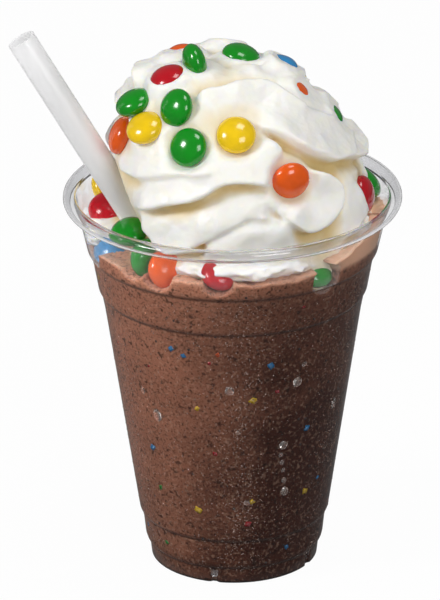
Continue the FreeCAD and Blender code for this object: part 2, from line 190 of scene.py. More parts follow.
# Lentils with their middle below this lie on the shake. The hollow behind each at the
# wall: where its edge runs, how far behind the lentil's middle, and the most it moves.
WALL_CANDY_TOP = 106 * MM
HOLLOW_EDGE = (3.5 * MM, 4.9 * MM)
HOLLOW_DEPTH = 1.5 * MM
HOLLOW_MOST = 8 * MM
# Lentils in the cream: lowest middle, and how far from the plain mound they may lie.
CREAM_CANDY_FOOT = 108 * MM
CREAM_CANDY_REACH = 4.5 * MM
CANDY_STANDS_OUT = -0.9

# Lentils that lie deep: how far the cream rises above their middle, in mm.
DEEP_CANDIES = {
    "candy_blue_1": 2.8,
    "candy_orange_2": 3.4,
    "candy_green_3": 3.2,
    "candy_orange_1": 3.4,
    "candy_orange_5": 3.4,
    "candy_yellow_3": 1.8,
    "candy_red_1": 1.6,
    "candy_green_2": 0.4,
}

# How the cream's seat round a lentil fades: sideways, and with height.
SEAT_EDGE = (5.0 * MM, 9.0 * MM)
SEAT_HEIGHT = (7 * MM, 12 * MM)

# Soft lobes that lie beside the mound, in mm: middle, then half-sizes.
LOBES = (
    ((-35.0, -4.0, 103.0), (8.5, 9.0, 3.4)),
    ((-31.0, 9.0, 103.0), (9.0, 9.0, 4.0)),
    ((-10.0, -32.0, 103.5), (7.0, 5.0, 2.5)),
    ((2.0, -35.5, 103.9), (13.0, 5.6, 2.9)),
    ((14.0, -31.5, 104.0), (8.0, 5.6, 2.4)),
    ((33.5, -10.0, 106.0), (6.0, 8.0, 6.0)),
    ((-27.5, 7.0, 144.0), (3.2, 3.4, 2.4)),
)

# Crumbs of sugar shell at the wall: colour, azimuth, height in mm, half-size in mm.
SHELL_CRUMBS = (
    ("orange", -97, 77.9, 0.9), ("orange", -157, 72.2, 0.8), ("red", -101, 74.8, 0.7),
    ("red", -133, 70.0, 0.6), ("red", -69, 64.5, 0.8), ("red", -60, 91.7, 0.6),
    ("red", -100, 44.6, 0.9), ("red", -82, 20.7, 1.0), ("blue", -73, 73.5, 1.3),
    ("blue", -119, 78.0, 0.9), ("blue", -113, 76.4, 0.8), ("blue", -138, 42.2, 1.2),
    ("blue", -50, 49.8, 1.1), ("blue", -36, 30.7, 0.9), ("blue", -55, 10.2, 0.9),
    ("yellow", -81, 62.4, 1.3), ("yellow", -108, 59.3, 0.9), ("yellow", -111, 24.8, 1.4),
    ("yellow", -46, 28.0, 1.1), ("yellow", -80, 28.2, 0.9), ("green", -136, 29.2, 1.0),
    ("green", -139, 10.0, 0.8),
)
CRUMBS_ROUND_BACK = 34
COCOA_SPECKS = 620
# How much of the shell's colour a crumb keeps in the shake.
CRUMB_COLOUR = 0.55

# Beads of water on the cup: azimuth, height, half-width and half-height in mm.
WATER_BEADS = (
    (-92, 66.0, 1.3, 1.5), (-59, 66.6, 1.4, 1.7), (-131, 54.2, 1.4, 2.1), (-139, 60.9, 0.9, 1.2),
    (-31, 54.1, 1.1, 1.8), (-64, 46.1, 1.3, 1.5), (-61, 30.2, 1.2, 1.5), (-83, 28.0, 1.0, 0.9),
    (-65, 43.0, 0.8, 0.8), (-64, 40.4, 0.8, 0.9), (-63, 37.6, 0.7, 0.8), (-62, 34.1, 0.9, 1.0),
    (-56, 72.0, 0.9, 0.9), (-88, 52.0, 0.8, 0.9), (20, 60.0, 1.2, 1.6), (52, 41.0, 1.3, 1.7),
    (75, 66.0, 1.1, 1.4), (101, 30.0, 1.3, 1.6), (128, 58.0, 1.2, 1.6), (160, 44.0, 1.1, 1.4),
)
# Where the mist is thick: azimuth, half-width in degrees, share of the droplets.
MIST_BANDS = (
    (-87.0, 14.0, 0.14), (-155.0, 12.0, 0.14), (-28.0, 10.0, 0.08), (60.0, 14.0, 0.08),
)


def linear(red, green, blue):
    """A colour as the shaders take it, from its usual 0 to 255 values."""
    shares = [value / 255 for value in (red, green, blue)]
    return tuple(s / 12.92 if s <= 0.04045 else ((s + 0.055) / 1.055) ** 2.4 for s in shares)


# ---------------------------------------------------------------- settings
def length_field(name, description, size):
    """A setting for a length, given in millimetres."""
    return FloatProperty(name=name, description=description, default=size * MM, unit="LENGTH")


def angle_field(name, description, degrees):
    """A setting for an angle, given in degrees."""
    return FloatProperty(name=name, description=description, default=math.radians(degrees), subtype="ANGLE")


def colour_field(name, description, *levels):
    """A setting for a colour, given as red, green and blue from 0 to 255."""
    return FloatVectorProperty(name=name, description=description, default=linear(*levels), subtype="COLOR")


class CupSettings(bpy.types.PropertyGroup):
    """Sizes of the clear cup."""

    bead_radius: length_field("Bead radius", "Half the rolled rim's thickness", 1.95)
    roll_end: angle_field("Roll end", "How far below level the roll turns", 100)
    wall: length_field("Wall", "Thickness of the wall", 0.5)
    foot_width: length_field("Foot width", "Flat of the foot ring", 3.2)
    push_up: length_field("Push-up", "Height of the raised floor", 3)
    push_up_slope: length_field("Push-up slope", "Run of the slope up to the floor", 1.4)
    edge_radius: length_field("Edge radius", "Rounding of the moulded steps", 0.4)
    notch_depth: length_field("Notch depth", "Depth of the notches in the foot", 0.7)
    tint: FloatVectorProperty(
        name="Tint", description="Colour of the plastic", default=(0.85, 0.85, 0.86), subtype="COLOR"
    )


class ShakeSettings(bpy.types.PropertyGroup):
    """Sizes and colours of the shake."""

    level: length_field("Level", "Top of the shake", 101.5)
    wall_reach: length_field("Reach into wall", "How far it reaches into the wall", 0.15)
    climb: length_field("Climb", "Height of the froth on the right", 7.0)
    lumps: length_field("Lumps", "Height of the froth's lumps", 1.5)
    pale: colour_field("Pale brown", "Shake with most air in it", 200, 138, 110)
    brown: colour_field("Brown", "Colour of the shake", 64, 30, 19)
    # Also the colour of the painted shade at the moulded steps.
    dark: colour_field("Dark brown", "Cocoa specks in the shake", 34, 18, 13)
    froth: colour_field("Froth", "Colour of the froth", 244, 200, 170)


class CreamSettings(bpy.types.PropertyGroup):
    """Sizes and colours of the whipped cream."""

    foot: length_field("Foot", "Underside of the mound", 94)
    height: length_field("Height", "Mound from foot to crown", 58.8)
    radius: length_field("Radius", "Mound at its widest", 37.5)
    offset: length_field("Offset", "Foot's way to the right", 3)
    lean: length_field("Lean", "Crown's way back to the left", 9)
    squareness: FloatProperty(name="Squareness", description="Power of the mound's round form", default=2.6)
    grain: length_field("Grain", "Size of the finest shape in the mesh", 0.55)
    white: colour_field("White", "Colour of the folds", 250, 247, 240)
    # The colour of the painted shade deep between folds.
    shade: colour_field("Shade", "Colour deep between folds", 228, 204, 146)


class StrawSettings(bpy.types.PropertyGroup):
    """Sizes and colour of the straw."""

    radius: length_field("Radius", "Outside of the straw", 4.15)
    wall: length_field("Wall", "Thickness of its wall", 0.35)
    tilt: angle_field("Tilt", "How far it leans to the left", 30.2)
    top: FloatVectorProperty(
        name="Top",
        description="Middle of its upper end",
        default=(-60.1 * MM, -3.0 * MM, 161.7 * MM),
        subtype="TRANSLATION",
        unit="LENGTH",
    )
    colour: colour_field("Colour", "Milky plastic", 254, 252, 255)


class CandySettings(bpy.types.PropertyGroup):
    """Colours of the sugar shells."""

    green: colour_field("Green", "Green shell", 2, 142, 22)
    yellow: colour_field("Yellow", "Yellow shell", 246, 204, 8)
    orange: colour_field("Orange", "Orange shell", 238, 92, 8)
    red: colour_field("Red", "Red shell", 188, 6, 26)
    blue: colour_field("Blue", "Blue shell", 40, 140, 202)


class WaterSettings(bpy.types.PropertyGroup):
    """The mist on the cold cup."""

    droplets: IntProperty(name="Droplets", description="How many droplets the mist has", default=8800)
    smallest: length_field("Smallest", "Half-width of the finest droplet", 0.09)
    largest: length_field("Largest", "Half-width of the largest droplet", 0.25)
    seed: IntProperty(name="Seed", description="Start of the random draws", default=7)


class StageSettings(bpy.types.PropertyGroup):
    """Camera and light."""

    distance: length_field("Distance", "Camera in front of the cup", 1600)
    height: length_field("Height", "Camera above the floor", 750.4)
    aside: length_field("Aside", "Camera to the right of the axis", -3.8)
    pitch: angle_field("Pitch", "How far it looks down", 22.75)
    roll: angle_field("Roll", "Turn about its view", -0.36)
    lens: FloatProperty(name="Lens", description="Focal length in mm", default=357.75)
    ambient: FloatProperty(name="Ambient", description="Strength of the room's light", default=0.2)


# ---------------------------------------------------------------- mesh helpers
def deselect():
    """Nothing is selected after this."""
    bpy.ops.object.select_all(action="DESELECT")


def activate(piece):
    """Only this piece is selected and active."""
    deselect()
    piece.select_set(True)
    bpy.context.view_layer.objects.active = piece


def new_piece(name, points, faces, edges=()):
    """A mesh piece from points and faces."""
    mesh = bpy.data.meshes.new(name)
    mesh.from_pydata(points, edges, faces)
    mesh.update()
    piece = bpy.data.objects.new(name, mesh)
    bpy.context.scene.collection.objects.link(piece)
    return piece


def apply_modifier(piece, kind, **values):
    """Adds a modifier with these values and applies it."""
    activate(piece)
    bpy.ops.object.modifier_add(type=kind)
    modifier = piece.modifiers[-1]
    for key, value in values.items():
        setattr(modifier, key, value)
    bpy.ops.object.modifier_apply(modifier=modifier.name)


def shade_smooth(piece):
    """Smooth shading all over."""
    activate(piece)
    bpy.ops.object.shade_smooth()


def settle(piece):
    """Puts the piece's place into its mesh."""
    activate(piece)
    bpy.ops.object.transform_apply(location=True, rotation=True, scale=True)


def seat(piece, nodes, material):
    """Gives a piece its finish, its body, and the CAD nodes that it stands for."""
    piece.data.materials.clear()
    piece.data.materials.append(material)
    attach(piece, "root")
    if nodes:
        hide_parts(*nodes)


def spin_outline(name, outline, steps):
    """Turns an outline of (radius, height) round the upright axis."""
    edges = [(i, i + 1) for i in range(len(outline) - 1)]
    piece = new_piece(name, [(r, 0, z) for r, z in outline], [], edges)
    activate(piece)
    bpy.ops.object.mode_set(mode="EDIT")
    bpy.ops.mesh.select_all(action="SELECT")
    bpy.ops.mesh.spin(steps=steps, angle=FULL_TURN, center=(0, 0, 0), axis=(0, 0, 1))
    bpy.ops.mesh.select_all(action="SELECT")
    bpy.ops.mesh.remove_doubles(threshold=0.002 * MM)
    bpy.ops.mesh.normals_make_consistent(inside=False)
    bpy.ops.object.mode_set(mode="OBJECT")
    return piece


def wrapped_piece(name, rings):
    """A closed piece from rings of points: the first and the last ring are one point each."""
    rows, columns = rings.shape[0] - 2, rings.shape[1]
    points = np.vstack([rings[0][:1], rings[1:-1].reshape(-1, 3), rings[-1][:1]])
    index = 1 + np.arange(rows * columns).reshape(rows, columns)
    across = np.roll(index, -1, axis=1)
    quads = np.stack([index[:-1], across[:-1], across[1:], index[1:]], axis=-1).reshape(-1, 4)
    faces = [tuple(quad) for quad in quads.tolist()]
    last = len(points) - 1
    for i, j in zip(index[0].tolist(), across[0].tolist()):
        faces.append((0, j, i))
    for i, j in zip(index[-1].tolist(), across[-1].tolist()):
        faces.append((last, i, j))
    return new_piece(name, points.tolist(), faces)


def rounded(corners, radius, steps=4):
    """An outline whose inner corners are rounded off."""
    made = [corners[0]]
    for before, corner, after in zip(corners, corners[1:], corners[2:]):
        here = Vector(corner)
        back, on = Vector(before) - here, Vector(after) - here
        reach = min(radius, 0.4 * back.length, 0.4 * on.length)
        start, end = here + back.normalized() * reach, here + on.normalized() * reach
        for step in range(steps + 1):
            share = step / steps
            point = start.lerp(here, share).lerp(here.lerp(end, share), share)
            made.append(tuple(point))
    made.append(corners[-1])
    return made


def soft_step(low, high, value):
    """0 below low, 1 above high, and a smooth rise between."""
    share = np.clip((value - low) / (high - low), 0.0, 1.0)
    return share * share * (3 - 2 * share)


def angle_apart(azimuth, middle):
    """Degrees from middle to azimuth, the short way round."""
    return (azimuth - middle + 180.0) % 360.0 - 180.0


# ---------------------------------------------------------------- form of the cup
def wall_outline():
    """Outside of the wall from foot to head, with its steps rounded, in metres."""
    cup = bpy.context.scene.milkshake_cup
    corners = [(r * MM, z * MM) for r, z in CUP_RINGS]
    return rounded(corners, cup.edge_radius)


def wall_radius(height):
    """Outside radius of the wall at a height or an array of heights."""
    outline = np.array(wall_outline())
    return np.interp(height, outline[:, 1], outline[:, 0])


def notched(points):
    """Moves points of the foot inwards at the moulded notches."""
    cup = bpy.context.scene.milkshake_cup
    azimuth = np.degrees(np.arctan2(points[:, 1], points[:, 0]))
    radius = np.hypot(points[:, 0], points[:, 1])
    depth = np.zeros(len(points))
    for middle in NOTCH_AZIMUTHS:
        apart = np.abs(angle_apart(azimuth, middle))
        depth = np.maximum(depth, 1 - soft_step(*NOTCH_SIDES, apart))
    low = 1 - soft_step(*NOTCH_TOP, points[:, 2])
    outer = soft_step(*NOTCH_DEPTH_STARTS, radius)
    shift = cup.notch_depth * depth * low * outer
    factor = 1 - shift / np.maximum(radius, MM)
    points[:, 0] *= factor
    points[:, 1] *= factor
    return points


def mesh_points(piece):
    """All points of a piece's mesh as an array."""
    points = np.empty(len(piece.data.vertices) * 3)
    piece.data.vertices.foreach_get("co", points)
    return points.reshape(-1, 3)


def move_points(piece, points):
    """Gives a piece's mesh these points."""
    piece.data.vertices.foreach_set("co", points.ravel())
    piece.data.update()


def roll_arc(radius, first, last, steps):
    """An arc of the rolled rim."""
    cup = bpy.context.scene.milkshake_cup
    middle = (CUP_HIGH.x - cup.bead_radius, CUP_HIGH.z - cup.bead_radius)
    made = []
    for step in range(steps + 1):
        angle = first + (last - first) * step / steps
        made.append((middle[0] + radius * math.cos(angle), middle[1] + radius * math.sin(angle)))
    return made


def cup_outline():
    """The whole section of the cup: underside, outside, rolled rim, inside, floor."""
    cup = bpy.context.scene.milkshake_cup
    foot_radius = CUP_RINGS[0][0] * MM
    foot_inside = foot_radius - cup.foot_width
    floor_edge = foot_inside - cup.push_up_slope
    outside = wall_outline()[:-1]
    under = [(0, cup.push_up), (floor_edge, cup.push_up), (foot_inside, 0), outside[0]]
    under = rounded(under, 0.3 * MM, 2)[:-1]
    roll = roll_arc(cup.bead_radius - cup.wall, math.pi, -cup.roll_end, 20)
    roll += roll_arc(cup.bead_radius, -cup.roll_end, math.pi, 28)
    inside = [(r - cup.wall, z) for r, z in reversed(outside[1:])]
    floor = [
        (foot_radius - cup.wall, cup.wall),
        (foot_inside + cup.wall, cup.wall),
        (floor_edge + cup.wall, cup.push_up + cup.wall),
        (0, cup.push_up + cup.wall),
    ]
    return under + outside + roll + inside + floor


# ---------------------------------------------------------------- materials
def new_material(name):
    """An empty node material: returns it, its tree and its principled shader."""
    material = bpy.data.materials.new(name)
    material.use_nodes = True
    tree = material.node_tree
    return material, tree, tree.nodes["Principled BSDF"]


def add_node(tree, kind, **values):
    """A node with its properties and its sockets set."""
    node = tree.nodes.new(kind)
    for key, value in values.items():
        if hasattr(node, key):
            setattr(node, key, value)
        else:
            node.inputs[key.replace("_", " ").title()].default_value = value
    return node


def object_place(tree):
    """Object coordinates."""
    return add_node(tree, "ShaderNodeTexCoord").outputs["Object"]


def noise_value(tree, place, scale, detail=3.0, roughness=0.5):
    """A noise pattern's value."""
    pattern = add_node(tree, "ShaderNodeTexNoise", scale=scale, detail=detail, roughness=roughness)
    tree.links.new(place, pattern.inputs["Vector"])
    return pattern.outputs["Fac"]


def ramp(tree, value, low, high, start=0.0, end=1.0):
    """Maps a value from low..high to start..end, kept within them."""
    node = add_node(tree, "ShaderNodeMapRange")
    for key, number in (("From Min", low), ("From Max", high), ("To Min", start), ("To Max", end)):
        node.inputs[key].default_value = number
    tree.links.new(value, node.inputs["Value"])
    return node.outputs["Result"]


def blend_colour(tree, factor, first, second):
    """Mixes two colours, each a colour or a socket, by a factor's socket."""
    node = add_node(tree, "ShaderNodeMix", data_type="RGBA")
    tree.links.new(factor, node.inputs["Factor"])
    for socket, colour in ((node.inputs[6], first), (node.inputs[7], second)):
        if isinstance(colour, bpy.types.NodeSocket):
            tree.links.new(colour, socket)
        else:
            socket.default_value = (*colour, 1.0)
    return node.outputs[2]


def maths(tree, operation, first, second):
    """A maths node on two values, each a number or a socket."""
    node = add_node(tree, "ShaderNodeMath", operation=operation)
    for socket, value in zip(node.inputs, (first, second)):
        if isinstance(value, bpy.types.NodeSocket):
            tree.links.new(value, socket)
        else:
            socket.default_value = value
    return node.outputs[0]


def bump(tree, height, distance, shader, strength=1.0):
    """Relief on a shader from a height's socket."""
    node = add_node(tree, "ShaderNodeBump")
    node.inputs["Strength"].default_value = strength
    node.inputs["Distance"].default_value = distance
    tree.links.new(height, node.inputs["Height"])
    tree.links.new(node.outputs["Normal"], shader.inputs["Normal"])


def tune(shader, values):
    """Sets constants on the shader's own sockets."""
    for key, value in values.items():
        shader.inputs[key].default_value = value


def uneven_roughness(tree, shader, pattern, low, high):
    """Roughness between low and high by a noise pattern."""
    tree.links.new(ramp(tree, pattern, 0.3, 0.7, low, high), shader.inputs["Roughness"])


def let_lamps_through(tree, shader):
    """Clear pieces cast no dark shadow: lamps shine through them."""
    through = add_node(tree, "ShaderNodeBsdfTransparent")
    path = add_node(tree, "ShaderNodeLightPath")
    mix = add_node(tree, "ShaderNodeMixShader")
    output = next(node for node in tree.nodes if node.type == "OUTPUT_MATERIAL")
    tree.links.new(path.outputs["Is Shadow Ray"], mix.inputs["Fac"])
    tree.links.new(shader.outputs[0], mix.inputs[1])
    tree.links.new(through.outputs[0], mix.inputs[2])
    tree.links.new(mix.outputs[0], output.inputs["Surface"])


def clear_plastic(tint):
    """Thin clear moulded plastic with a faint unevenness."""
    material, tree, shader = new_material("clear_plastic")
    tune(shader, {
        "Base Color": (*tint, 1.0), "Transmission Weight": 1.0, "IOR": 1.46,
        "Specular IOR Level": 0.28,
    })
    place = object_place(tree)
    smear = noise_value(tree, place, 60.0, 2.0)
    tree.links.new(ramp(tree, smear, 0.3, 0.8, 0.01, 0.07), shader.inputs["Roughness"])
    bump(tree, noise_value(tree, place, 140.0, 1.0), 0.06 * MM, shader, 0.5)
    let_lamps_through(tree, shader)
    return material


def shake_finish(shake):
    """Mottled brown with fine cocoa specks, paler and frothy towards its top, with painted light that makes
    its left side paler and painted shade at the moulded steps.
    """
    material, tree, shader = new_material("chocolate_shake")
    place = object_place(tree)
    split = add_node(tree, "ShaderNodeSeparateXYZ")
    tree.links.new(place, split.inputs[0])
    mottle = noise_value(tree, place, 70.0, 4.0)
    rise = ramp(tree, split.outputs["Z"], 0.0, shake.level, 0.0, 0.35)
    # Painted light: the left side is made paler, standing for the key lamp's light from the left.
    aside = ramp(tree, split.outputs["X"], -40 * MM, 14 * MM, 0.75, 0.0)
    pale = maths(tree, "ADD", rise, aside)
    pale = maths(tree, "ADD", pale, ramp(tree, mottle, 0.3, 0.7, -0.1, 0.08))
    airy = ramp(tree, split.outputs["Z"], shake.level - 9 * MM, shake.level, 0.0, 0.35)
    pale = maths(tree, "ADD", pale, airy)
    colour = blend_colour(tree, ramp(tree, pale, 0.15, 1.15), tuple(shake.brown), tuple(shake.pale))
    for scale, detail, start, end, share, tone in SHAKE_SPECKS:
        specks = ramp(tree, noise_value(tree, place, scale, detail), start, end, 0.0, share)
        colour = blend_colour(tree, specks, colour, tuple(getattr(shake, tone)))
    # Painted shade: a dark ring in the shake's colour at each moulded step.
    for height in STEP_HEIGHTS:
        away = maths(tree, "ABSOLUTE", maths(tree, "SUBTRACT", split.outputs["Z"], height * MM), 0.0)
        shade = ramp(tree, away, 0.2 * MM, 0.9 * MM, 0.6, 0.0)
        colour = blend_colour(tree, shade, colour, tuple(shake.dark))
    foam = add_node(tree, "ShaderNodeAttribute", attribute_name="froth")
    colour = blend_colour(tree, foam.outputs["Fac"], colour, tuple(shake.froth))
    tree.links.new(colour, shader.inputs["Base Color"])
    tune(shader, {
        "Roughness": 0.45, "Specular IOR Level": 0.06, "Subsurface Weight": 0.15,
        "Subsurface Radius": (1.0, 0.5, 0.3), "Subsurface Scale": 1.2 * MM,
    })
    bump(tree, noise_value(tree, place, 700.0, 3.0), 0.25 * MM, shader, 0.5)
    return material


def cream_finish(cream):
    """Soft white that lets light in, with painted shade: a warmer, darker tint deep between the folds."""
    material, tree, shader = new_material("cream")
    place = object_place(tree)
    # Painted shade: the cream is tinted warmer and darker deep between the folds.
    fold = add_node(tree, "ShaderNodeAttribute", attribute_name="fold")
    uneven = ramp(tree, noise_value(tree, place, 90.0), 0, 1, -0.1, 0.1)
    depth = maths(tree, "ADD", fold.outputs["Fac"], uneven)
    colour = blend_colour(tree, ramp(tree, depth, 0.0, 0.6), tuple(cream.shade), tuple(cream.white))
    tree.links.new(colour, shader.inputs["Base Color"])
    uneven_roughness(tree, shader, noise_value(tree, place, 240.0), 0.32, 0.55)
    tune(shader, {
        "Subsurface Weight": 0.55, "Subsurface Radius": (1.0, 0.85, 0.5),
        "Subsurface Scale": 2.2 * MM, "Specular IOR Level": 0.4,
    })
    bump(tree, noise_value(tree, place, 900.0, 3.0, 0.6), 0.12 * MM, shader, 0.5)
    return material


def straw_finish(colour):
    """Milky plastic that lets some light through, with a faint painted glow."""
    material, tree, shader = new_material("straw_plastic")
    place = object_place(tree)
    cloud = noise_value(tree, place, 45.0, 2.0)
    pale = tuple(min(1.0, value * 1.06) for value in colour)
    tree.links.new(blend_colour(tree, cloud, tuple(colour), pale), shader.inputs["Base Color"])
    # Painted light: a faint white emission makes the straw glow, standing for light passing through it.
    tune(shader, {
        "Roughness": 0.34, "Emission Color": (1.0, 0.98, 1.0, 1.0), "Emission Strength": 0.04,
        "Subsurface Weight": 0.6, "Subsurface Radius": (1.0, 0.95, 1.0),
        "Subsurface Scale": 3.0 * MM,
    })
    bump(tree, noise_value(tree, place, 400.0, 2.0), 0.03 * MM, shader, 0.4)
    return material


def shell_finish(name, colour):
    """Hard glossy sugar shell, very slightly uneven."""
    material, tree, shader = new_material(name)
    place = object_place(tree)
    cloud = noise_value(tree, place, 260.0, 3.0)
    deep = tuple(value * 0.86 for value in colour)
    blend = blend_colour(tree, ramp(tree, cloud, 0.3, 0.7), deep, tuple(colour))
    tree.links.new(blend, shader.inputs["Base Color"])
    uneven_roughness(tree, shader, noise_value(tree, place, 500.0), 0.12, 0.24)
    tune(shader, {"Coat Weight": 0.35, "Coat Roughness": 0.06})
    bump(tree, noise_value(tree, place, 320.0, 1.0), 0.08 * MM, shader, 0.5)
    return material


def speck_finish():
    """Dark cocoa."""
    material, tree, shader = new_material("cocoa_specks")
    shade = noise_value(tree, object_place(tree), 300.0)
    colour = blend_colour(tree, shade, linear(18, 10, 9), linear(40, 24, 20))
    tree.links.new(colour, shader.inputs["Base Color"])
    shader.inputs["Roughness"].default_value = 0.5
    return material


def water_finish(name, colour, clear):
    """Water in small drops: the smaller they are, the less clear they look. The pale share of its colour
    stands partly for the lamps' sparkle, as painted highlight.
    """
    material, tree, shader = new_material(name)
    tune(shader, {"Base Color": (*colour, 1.0), "Transmission Weight": clear, "IOR": 1.33})
    place = object_place(tree)
    uneven_roughness(tree, shader, noise_value(tree, place, 300.0), 0.0, 0.05)
    let_lamps_through(tree, shader)
    return material


# ---------------------------------------------------------------- cup
class MILKSHAKE_OT_cup(bpy.types.Operator):
    """Spins the clear cup with its steps, pushed-up floor and rolled rim"""

    bl_idname = "milkshake.cup"
    bl_label = "Clear Cup"

    def execute(self, context):
        piece = spin_outline("clear_cup", cup_outline(), 256)
        move_points(piece, notched(mesh_points(piece)))
        shade_smooth(piece)
        seat(piece, ["cup"], clear_plastic(context.scene.milkshake_cup.tint))
        return {"FINISHED"}


# ---------------------------------------------------------------- shake
def climb_share(azimuth):
    """How far up the froth has climbed the wall here, from 0 to 1."""
    apart = angle_apart(azimuth, CLIMB_MIDDLE)
    return np.exp(-((apart / CLIMB_HALF) ** 4))


def froth_height(x, y, share):
    """Height of the shake's lumpy top above its level."""
    shake = bpy.context.scene.milkshake_shake
    azimuth = np.degrees(np.arctan2(y, x))
    rough = np.array([noise.fractal(Vector((a, b, 3.0)) / LUMP_SIZE, 0.6, 2.1, 4) for a, b in zip(x, y)])
    bubbly = np.array([noise.noise(Vector((a, b, 9.0)) / BUBBLE_SIZE) for a, b in zip(x, y)])
    climb = shake.climb * climb_share(azimuth) * soft_step(0.7, 1.0, share)
    return climb + shake.lumps * rough * 0.8 + BUBBLE_HEIGHT * bubbly


def candy_middles():
    """Name and middle of every lentil."""
    made = []
    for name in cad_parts:
        if name.startswith("candy_"):
            low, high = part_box(name)
            made.append((name, np.array((low + high) / 2)))
    return made


def room_for_candies(points):
    """Draws the shake back behind the lentils that touch the wall, so that they show."""
    for _name, middle in candy_middles():
        if middle[2] > WALL_CANDY_TOP:
            continue
        out = middle * (1, 1, 0) / math.hypot(middle[0], middle[1])
        apart = points - middle
        depth = apart @ out
        aside = np.linalg.norm(apart - depth[:, None] * out, axis=1)
        near = 1 - soft_step(*HOLLOW_EDGE, aside)
        shift = np.clip(depth + HOLLOW_DEPTH, 0, HOLLOW_MOST) * near
        points = points - out * shift[:, None]
    return points


class MILKSHAKE_OT_shake(bpy.types.Operator):
    """Fills the cup with the shake, up to its frothy top"""

    bl_idname = "milkshake.shake"
    bl_label = "Shake"

    def execute(self, context):
        shake = context.scene.milkshake_shake
        cup = context.scene.milkshake_cup
        columns, side_rows, top_rows = 300, 150, 44
        azimuth = np.linspace(0, 360, columns, endpoint=False)
        turn = np.radians(azimuth)
        x, y = np.cos(turn), np.sin(turn)
        inset = cup.wall - shake.wall_reach
        floor = cup.push_up + inset
        foot_radius = CUP_RINGS[0][0] * MM
        foot_inside = foot_radius - cup.foot_width + inset
        floor_edge = foot_inside - cup.push_up_slope
        rings = [np.stack([0 * x, 0 * x, 0 * x + floor], -1)]
        for radius, height in ((floor_edge * 0.5, floor), (floor_edge, floor), (foot_inside, inset)):
            rings.append(np.stack([radius * x, radius * y, 0 * x + height], -1))
        near_wall = 44 * MM
        contact = shake.level + froth_height(near_wall * x, near_wall * y, np.ones(columns))
        for row in range(side_rows + 1):
            height = inset + (contact - inset) * row / side_rows
            radius = wall_radius(height) - inset
            rings.append(np.stack([radius * x, radius * y, height], -1))
        edge = wall_radius(contact) - inset
        for row in range(1, top_rows):
            share = 1 - row / top_rows
            radius = edge * share
            height = shake.level + froth_height(radius * x, radius * y, np.full(columns, share))
            ease = soft_step(0.9, 1.0, share)
            height = height * (1 - ease) + contact * ease
            rings.append(np.stack([radius * x, radius * y, height], -1))
        rings.append(np.stack([0 * x, 0 * x, 0 * x + shake.level], -1))
        piece = wrapped_piece("shake_fill", np.array(rings))
        points = room_for_candies(notched(mesh_points(piece)))
        move_points(piece, points)
        top = soft_step(-1.2 * MM, 0.6 * MM, points[:, 2] - shake.level)
        around = climb_share(np.degrees(np.arctan2(points[:, 1], points[:, 0])))
        froth = piece.data.attributes.new("froth", "FLOAT", "POINT")
        froth.data.foreach_set("value", (top * (0.25 + 0.75 * around)).astype(np.float32))
        shade_smooth(piece)
        seat(piece, ["shake"], shake_finish(shake))
        return {"FINISHED"}


# ---------------------------------------------------------------- cream
def mound_point(azimuth, elevation):
    """Points on the cream's plain mound, in metres, from angles in degrees."""
    cream = bpy.context.scene.milkshake_cream
    power = 2 / cream.squareness
    turn, tilt = np.radians(azimuth), np.radians(elevation)
    flat = np.clip(np.cos(tilt), 0, 1) ** power
    rise = np.clip(np.sin(tilt), 0, 1) ** power
    x = cream.offset - cream.lean * rise**2 + cream.radius * flat * np.cos(turn)
    y = cream.radius * flat * np.sin(turn)
    return np.stack([x, y, cream.foot + cream.height * rise], -1)


def mound_shares(points):
    """Height share, and the way out from the mound's axis as x, y shares of its radius."""
    cream = bpy.context.scene.milkshake_cream
    rise = np.clip((points[..., 2] - cream.foot) / cream.height, 0, None)
    x = (points[..., 0] - cream.offset + cream.lean * np.minimum(rise, 1) ** 2) / cream.radius
    return rise, x, points[..., 1] / cream.radius


def mound_normal(points):
    """Outward directions on the mound at these points."""
    cream = bpy.context.scene.milkshake_cream
    rise, x, y = mound_shares(points)
    out = np.hypot(x, y)
    steep = np.maximum(out, 1e-4) ** (cream.squareness - 2)
    upward = rise ** (cream.squareness - 1) / cream.height
    normal = np.stack([x * steep / cream.radius, y * steep / cream.radius, upward], -1)
    return normal / np.linalg.norm(normal, axis=-1, keepdims=True)


def proud_of_mound(points):
    """How far points stand out of the plain mound, in metres."""
    cream = bpy.context.scene.milkshake_cream
    rise, x, y = mound_shares(points)
    value = np.hypot(x, y) ** cream.squareness + rise**cream.squareness
    return (value ** (1 / cream.squareness) - 1) * cream.radius


def smooth_line(stations, steps=7):
    """A smooth curve through points, by Catmull and Rom."""
    points = np.array(stations, float)
    padded = np.vstack([2 * points[0] - points[1], points, 2 * points[-1] - points[-2]])
    made = []
    for a, b, c, d in zip(padded, padded[1:], padded[2:], padded[3:]):
        for step in range(steps):
            t = step / steps
            square = (2 * a - 5 * b + 4 * c - d) * t**2
            cube = (3 * b - a - 3 * c + d) * t**3
            made.append(0.5 * ((2 * b) + (c - a) * t + square + cube))
    made.append(points[-1])
    return np.array(made)


def way_along(points):
    """Length run along a line at each of its points."""
    return np.concatenate([[0], np.cumsum(np.linalg.norm(np.diff(points, axis=0), axis=1))])


def line_frame(stations):
    """A fold's line on the mound: points, way on, way to its left, length run so far."""
    angles = smooth_line(stations)
    points = mound_point(angles[:, 0], angles[:, 1])
    along = np.gradient(points, axis=0)
    run = way_along(points)
    along /= np.linalg.norm(along, axis=1, keepdims=True)
    left = np.cross(mound_normal(points), along)
    left /= np.linalg.norm(left, axis=1, keepdims=True)
    return points, along, left, run


